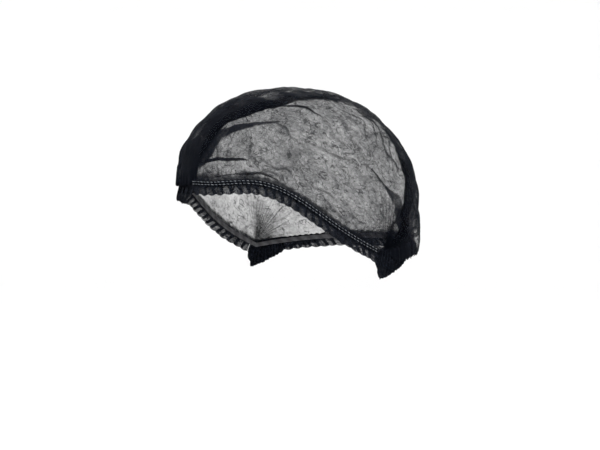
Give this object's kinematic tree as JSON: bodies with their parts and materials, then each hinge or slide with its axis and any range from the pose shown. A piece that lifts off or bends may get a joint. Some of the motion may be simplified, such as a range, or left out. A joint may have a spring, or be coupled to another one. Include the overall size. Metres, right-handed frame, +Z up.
{
  "type": "disposable mob cap",
  "caption": "Sheer non-woven disposable cap, gathered on elastic to a pleated frill, with a bunched end behind each ear.",
  "frame": {"origin": "middle of the ear line, the straight line between the two gathered ends, where the cap sits round a head", "axes": "+Z up, -Y towards the brow, +X towards the wearer's left side"},
  "size_m": [0.1773, 0.2246, 0.1589],
  "materials": {
    "sheer_cloth": "sheer crinkled non-woven, black",
    "gathered_cloth": "gathered non-woven in several layers, black",
    "elastic_band": "covered flat elastic, black"
  },
  "bodies": {
    "root": {"crown": "sheer_cloth", "front_hem": "gathered_cloth", "rear_hem": "gathered_cloth", "front_frill": "gathered_cloth", "rear_frill": "gathered_cloth", "left_end": "gathered_cloth", "right_end": "gathered_cloth", "elastic": "elastic_band"}
  },
  "joints": []
}
